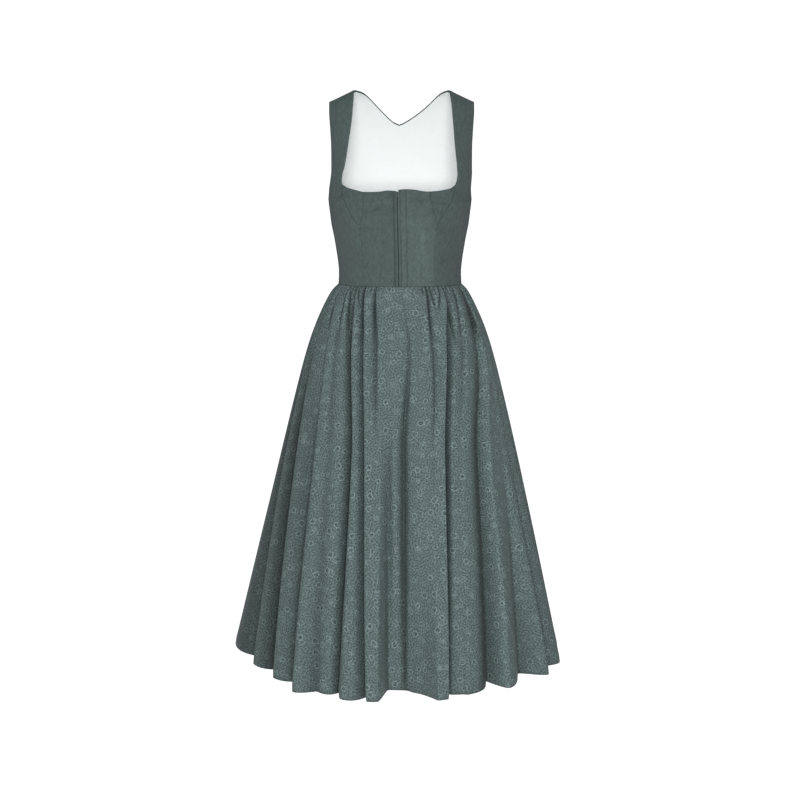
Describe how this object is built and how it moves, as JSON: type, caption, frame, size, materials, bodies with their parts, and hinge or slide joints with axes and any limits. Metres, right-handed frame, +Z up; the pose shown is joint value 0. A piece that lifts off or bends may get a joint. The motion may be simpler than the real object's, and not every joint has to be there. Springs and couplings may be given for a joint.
{
  "type": "dirndl dress",
  "caption": "Sleeveless dirndl dress: fitted seamed bodice with wide straps and a long gathered print skirt, keeping the hollow form of wear.",
  "frame": {"origin": "midway between the two shoulder straps, level with their undersides on the shoulder line, where the wearer's shoulders hold the dress", "axes": "+Z up, the front of the dress faces -Y, +X is the wearer's left"},
  "size_m": [0.6699, 0.7461, 1.1546],
  "materials": {
    "bodice_twill": "matt plain twill, dark grey green",
    "skirt_print": "matt cotton with a small tone-on-tone flower print, grey green",
    "lining": "smooth white lining",
    "tape": "woven zip tape, nearly black"
  },
  "bodies": {
    "root": {"front_centre_left": "bodice_twill", "front_centre_right": "bodice_twill", "bust_gore_left": "bodice_twill", "bust_gore_right": "bodice_twill", "side_front_left": "bodice_twill", "side_front_right": "bodice_twill", "side_back_left": "bodice_twill", "side_back_right": "bodice_twill", "back_left": "bodice_twill", "back_right": "bodice_twill", "back_lining_left": "lining", "back_lining_right": "lining", "side_lining_left": "lining", "side_lining_right": "lining", "closure_tape": "tape", "skirt_front": "skirt_print", "skirt_back": "skirt_print"}
  },
  "joints": []
}
